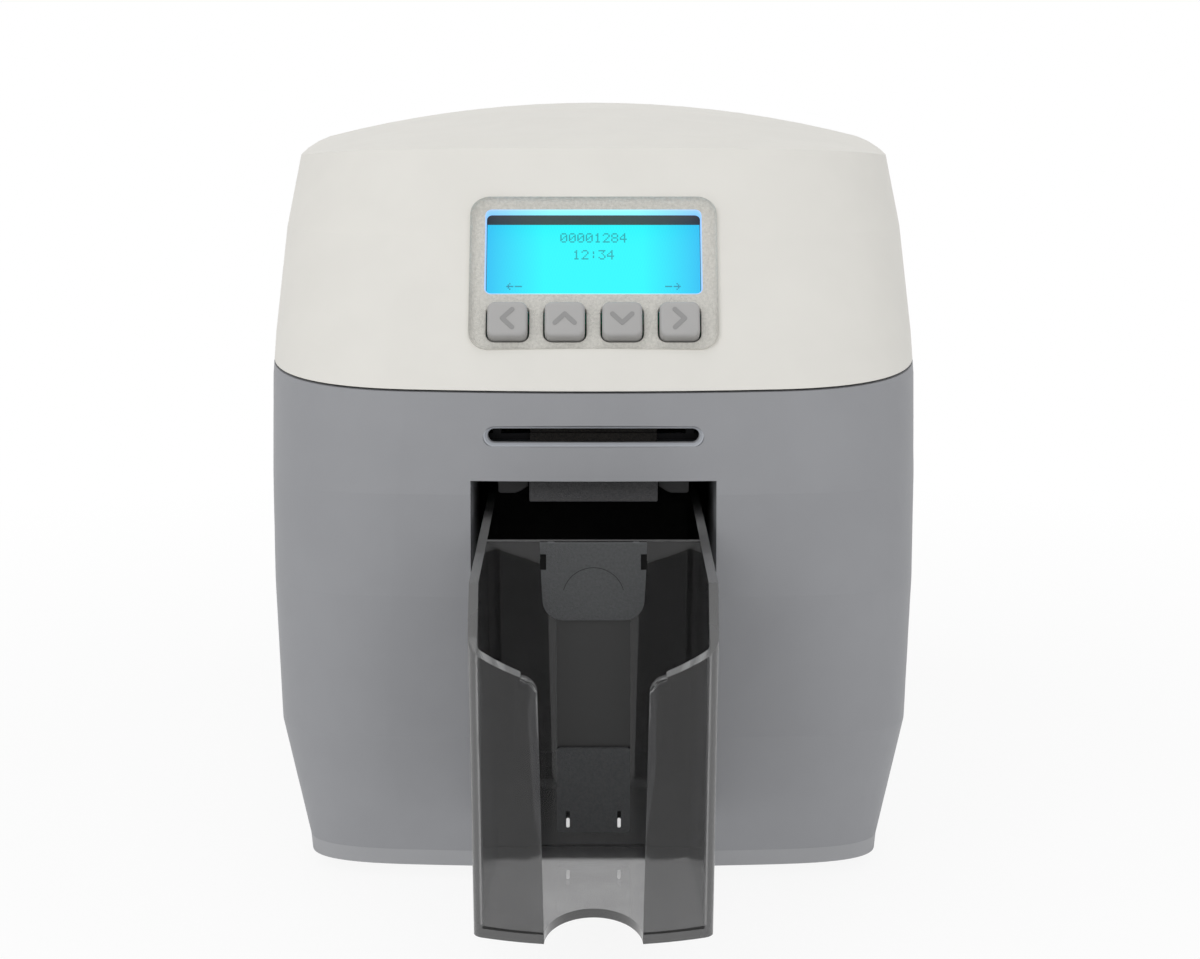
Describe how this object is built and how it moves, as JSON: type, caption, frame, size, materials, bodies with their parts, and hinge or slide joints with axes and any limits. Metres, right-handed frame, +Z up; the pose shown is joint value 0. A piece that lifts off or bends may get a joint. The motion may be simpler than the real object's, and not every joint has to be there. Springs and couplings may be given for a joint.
{
  "type": "id card printer",
  "caption": "Desktop card printer with a hinged domed cover, a leaning display panel with keys, a hand-feed slot and a smoked card hopper that slides into the front.",
  "frame": {"origin": "middle of the printer's footprint, on the table under its feet", "axes": "+X to the right seen from the front, +Y to the rear, +Z up"},
  "size_m": [0.2006, 0.4468, 0.2286],
  "materials": {
    "cover_white": "fine spark-eroded moulding texture",
    "casing_grey": "fine spark-eroded moulding texture",
    "tray_grey": "satin moulding",
    "smoked": "polished smoked transparent moulding",
    "gate_grey": "coarse moulded texture",
    "foot_rubber": "matt rubber",
    "screw_steel": "zinc-plated steel",
    "dock_black": "matt black moulding",
    "cowl_grey": "coarse matt moulding",
    "guide_grey": "satin moulding",
    "brush_black": "dense bristle strip",
    "bezel_beige": "fine moulded texture",
    "frame_black": "satin moulding",
    "screen_glow": "backlit liquid-crystal glass",
    "board_green": "solder-masked laminate",
    "key_grey": "satin moulded keys",
    "part_black": "moulded component body",
    "chassis_steel": "zinc-coated sheet steel",
    "shaft_steel": "ground steel",
    "roller_rubber": "ground rubber",
    "pick_rubber": "soft grey rubber",
    "pulley_white": "acetal moulding",
    "belt_black": "toothed rubber belt",
    "motor_steel": "plated steel can",
    "spool_grey": "moulded spool",
    "dye_film": "dye-coated film",
    "head_aluminium": "machined aluminium",
    "bracket_steel": "folded sheet steel",
    "spring_steel": "spring wire",
    "socket_steel": "tinned steel"
  },
  "bodies": {
    "base": {"base_tray": "tray_grey", "lower_casing": "casing_grey", "rubber_feet": "foot_rubber", "hopper_dock": "dock_black", "roller_cowl": "cowl_grey", "slot_guide": "guide_grey", "slot_brush": "brush_black", "chassis_left": "chassis_steel", "chassis_right": "chassis_steel", "card_deck": "chassis_steel", "tie_bars": "shaft_steel", "main_motor": "motor_steel", "drive_belt": "belt_black", "ribbon_film": "dye_film", "hinge_brackets": "chassis_steel", "hinge_pins": "shaft_steel", "button_spring": "spring_steel", "rear_panel": "tray_grey", "usb_port": "socket_steel", "ethernet_port": "socket_steel", "power_inlet": "part_black", "main_board": "board_green", "board_spacers": "screw_steel"},
    "cover": {"top_cover": "cover_white", "display_bezel": "bezel_beige", "screen_frame": "frame_black", "lcd_screen": "screen_glow", "lcd_module": "part_black", "display_board": "board_green", "display_screws": "screw_steel", "printhead": "head_aluminium", "head_bracket": "bracket_steel"},
    "left_key": {"key_left": "key_grey"},
    "up_key": {"key_up": "key_grey"},
    "down_key": {"key_down": "key_grey"},
    "right_key": {"key_right": "key_grey"},
    "hopper_box": {"hopper": "smoked", "hopper_pad": "gate_grey"},
    "gate": {"card_gate": "gate_grey"},
    "release_button": {"lid_button": "key_grey"},
    "platen": {"platen_shaft": "shaft_steel", "platen_roller": "roller_rubber", "platen_pulley": "pulley_white"},
    "feed": {"feed_shaft": "shaft_steel", "feed_roller": "roller_rubber", "feed_pulley": "pulley_white"},
    "transport": {"transport_shaft": "shaft_steel", "transport_roller": "roller_rubber", "transport_pulley": "pulley_white"},
    "feed_idler": {"feed_pinch": "shaft_steel"},
    "transport_idler": {"transport_pinch": "shaft_steel"},
    "pick": {"pick_shaft": "shaft_steel", "pick_roller": "pick_rubber"},
    "motor_drive": {"motor_shaft": "shaft_steel", "motor_pulley": "pulley_white"},
    "supply": {"supply_spool": "spool_grey", "supply_roll": "dye_film"},
    "takeup": {"takeup_spool": "spool_grey", "takeup_roll": "dye_film"}
  },
  "joints": [
    {"name": "cover_hinge", "type": "hinge", "parent": "base", "child": "cover", "pos_m": [0, 0.21543, 0.1951], "axis": [-1, 0, 0], "range_deg": [0, 62]},
    {"name": "left_key_press", "type": "slide", "parent": "cover", "child": "left_key", "axis": [0, 0.8572, -0.515], "range_m": [0, 0.001], "stiffness_N_per_m": 300, "springref_m": -0.001},
    {"name": "up_key_press", "type": "slide", "parent": "cover", "child": "up_key", "axis": [0, 0.8572, -0.515], "range_m": [0, 0.001], "stiffness_N_per_m": 300, "springref_m": -0.001},
    {"name": "down_key_press", "type": "slide", "parent": "cover", "child": "down_key", "axis": [0, 0.8572, -0.515], "range_m": [0, 0.001], "stiffness_N_per_m": 300, "springref_m": -0.001},
    {"name": "right_key_press", "type": "slide", "parent": "cover", "child": "right_key", "axis": [0, 0.8572, -0.515], "range_m": [0, 0.001], "stiffness_N_per_m": 300, "springref_m": -0.001},
    {"name": "hopper_slide", "type": "slide", "parent": "base", "child": "hopper_box", "axis": [0, -1, 0], "range_m": [0, 0.065]},
    {"name": "gate_slide", "type": "slide", "parent": "hopper_box", "child": "gate", "axis": [0, 0, -1], "range_m": [0, 0.03]},
    {"name": "release_press", "type": "slide", "parent": "base", "child": "release_button", "axis": [-1, 0, 0], "range_m": [0, 0.0025], "stiffness_N_per_m": 300, "springref_m": -0.001, "deforming": ["button_spring"]},
    {"name": "platen_spin", "type": "hinge", "parent": "base", "child": "platen", "pos_m": [0, 0.04743, 0.1305], "axis": [1, 0, 0], "continuous": true},
    {"name": "feed_spin", "type": "hinge", "parent": "base", "child": "feed", "pos_m": [0, -0.02457, 0.1305], "axis": [1, 0, 0], "continuous": true},
    {"name": "transport_spin", "type": "hinge", "parent": "base", "child": "transport", "pos_m": [0, 0.12243, 0.1305], "axis": [1, 0, 0], "continuous": true},
    {"name": "feed_idler_spin", "type": "hinge", "parent": "base", "child": "feed_idler", "pos_m": [0, -0.02457, 0.1423], "axis": [1, 0, 0], "continuous": true},
    {"name": "transport_idler_spin", "type": "hinge", "parent": "base", "child": "transport_idler", "pos_m": [0, 0.12243, 0.1423], "axis": [1, 0, 0], "continuous": true},
    {"name": "motor_spin", "type": "hinge", "parent": "base", "child": "motor_drive", "pos_m": [0, 0.08243, 0.085], "axis": [1, 0, 0], "continuous": true},
    {"name": "pick_spin", "type": "hinge", "parent": "base", "child": "pick", "pos_m": [0, -0.08257, 0.121], "axis": [1, 0, 0], "continuous": true},
    {"name": "supply_spin", "type": "hinge", "parent": "base", "child": "supply", "pos_m": [0, -0.00457, 0.178], "axis": [1, 0, 0], "continuous": true},
    {"name": "takeup_spin", "type": "hinge", "parent": "base", "child": "takeup", "pos_m": [0, 0.10543, 0.178], "axis": [1, 0, 0], "continuous": true}
  ],
  "couplings": [
    {"joint": "feed_spin", "follows": "platen_spin", "ratio": 1},
    {"joint": "transport_spin", "follows": "platen_spin", "ratio": 1},
    {"joint": "motor_spin", "follows": "platen_spin", "ratio": 1.4286},
    {"joint": "feed_idler_spin", "follows": "platen_spin", "ratio": -1.4444},
    {"joint": "transport_idler_spin", "follows": "platen_spin", "ratio": -1.4444}
  ]
}
